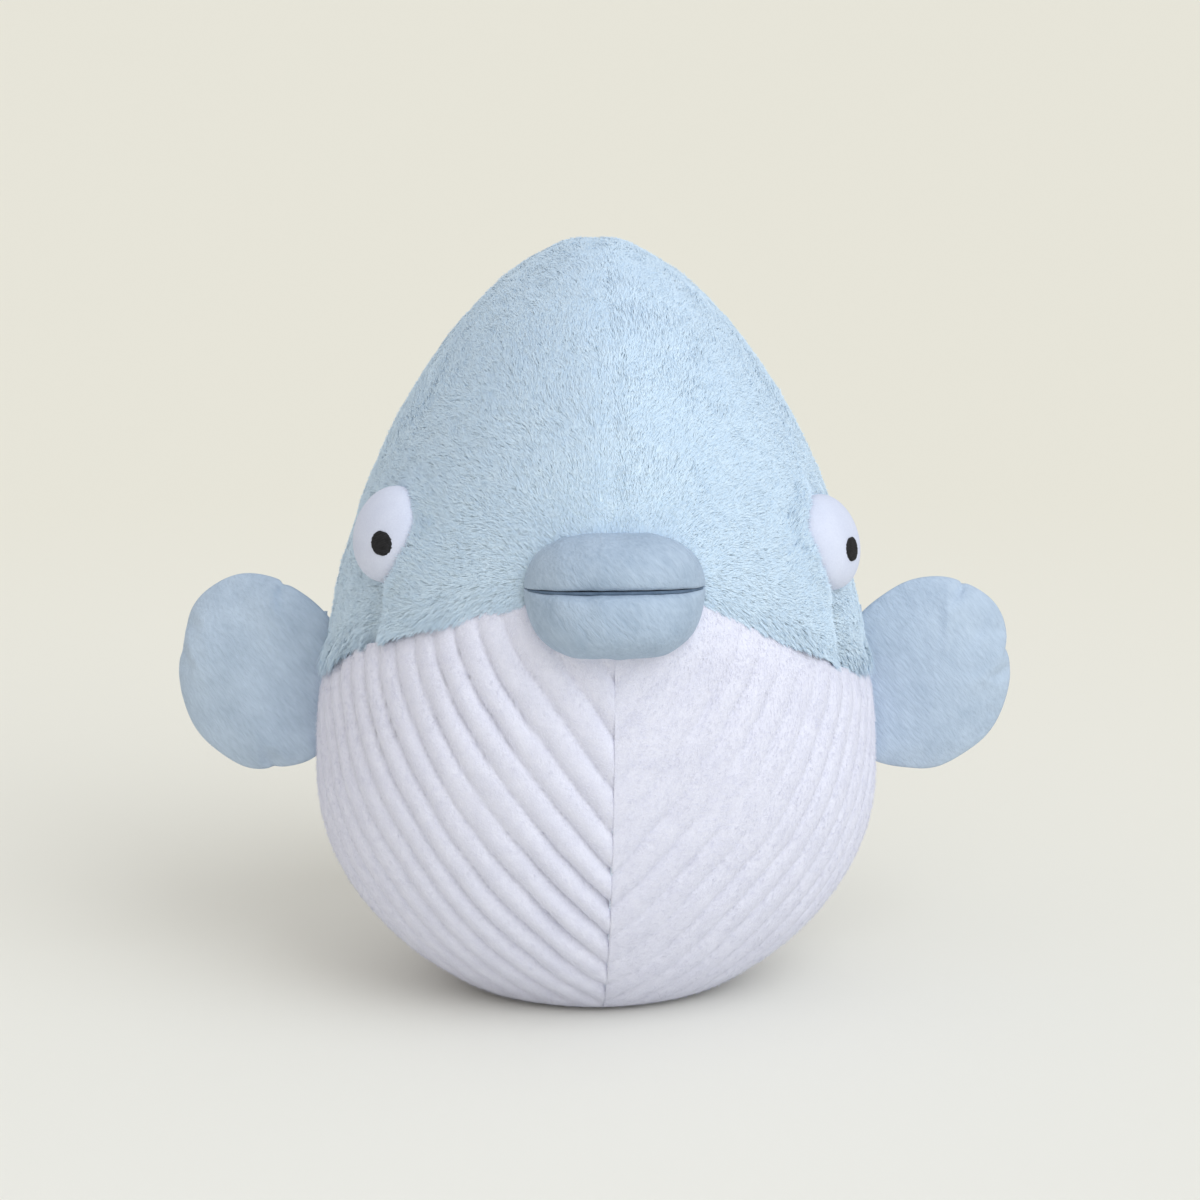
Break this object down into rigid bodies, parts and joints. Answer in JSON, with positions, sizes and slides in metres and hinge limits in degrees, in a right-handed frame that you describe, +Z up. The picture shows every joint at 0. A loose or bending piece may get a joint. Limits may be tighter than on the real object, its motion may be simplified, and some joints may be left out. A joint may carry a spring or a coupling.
{
  "type": "plush pufferfish",
  "caption": "Sitting plush pufferfish with a furry blue back, ribbed white belly, padded velour lips, domed eyes, side fins that flap and a tail fin that wags.",
  "frame": {"origin": "bottom centre of the bounding box, on the ground under the fish", "axes": "+Z up, the fish faces -Y with its tail toward +Y, and +X is the fish's own left, along the span of the side fins"},
  "size_m": [0.3067, 0.2848, 0.2739],
  "materials": {
    "blue_fur": "matte",
    "white_rib_plush": "matte",
    "blue_velour": "matte",
    "white_velour": "matte",
    "black_embroidery": "matte",
    "mouth_thread": "matte",
    "seam_thread": "matte",
    "fibre_fill": "matte",
    "pellet_bag": "matte"
  },
  "bodies": {
    "body": {"back_panel_left": "blue_fur", "back_panel_right": "blue_fur", "belly_panel_left": "white_rib_plush", "belly_panel_right": "white_rib_plush", "back_seam_thread": "seam_thread", "belly_seam_thread": "seam_thread", "side_seam_thread_left": "seam_thread", "side_seam_thread_right": "seam_thread", "body_stuffing": "fibre_fill", "pellet_pouch": "pellet_bag", "upper_lip_cover": "blue_velour", "upper_lip_stuffing": "fibre_fill", "lower_lip_cover": "blue_velour", "lower_lip_stuffing": "fibre_fill", "mouth_thread": "mouth_thread", "eye_cover_left": "white_velour", "eye_cover_right": "white_velour", "eye_stuffing_left": "fibre_fill", "eye_stuffing_right": "fibre_fill", "pupil_left": "black_embroidery", "pupil_right": "black_embroidery", "fin_root_thread_left": "seam_thread", "fin_root_thread_right": "seam_thread", "tail_root_thread": "seam_thread"},
    "fin_left": {"fin_front_panel_left": "blue_velour", "fin_rear_panel_left": "blue_velour", "fin_stuffing_left": "fibre_fill"},
    "fin_right": {"fin_front_panel_right": "blue_velour", "fin_rear_panel_right": "blue_velour", "fin_stuffing_right": "fibre_fill"},
    "tail": {"tail_left_panel": "blue_velour", "tail_right_panel": "blue_velour", "tail_stuffing": "fibre_fill"}
  },
  "joints": [
    {"name": "fin_left_flap", "type": "hinge", "parent": "body", "child": "fin_left", "pos_m": [0.09982, -0.00085, 0.11392], "axis": [-0.1131, 0, 0.9936], "range_deg": [-40, 50], "stiffness_Nm_per_rad": 0.02},
    {"name": "fin_right_flap", "type": "hinge", "parent": "body", "child": "fin_right", "pos_m": [-0.09982, -0.00085, 0.11392], "axis": [-0.1131, 0, -0.9936], "range_deg": [-40, 50], "stiffness_Nm_per_rad": 0.02},
    {"name": "tail_wag", "type": "hinge", "parent": "body", "child": "tail", "pos_m": [0, 0.09245, 0.138], "axis": [0, 0, 1], "range_deg": [-40, 40], "stiffness_Nm_per_rad": 0.02}
  ]
}
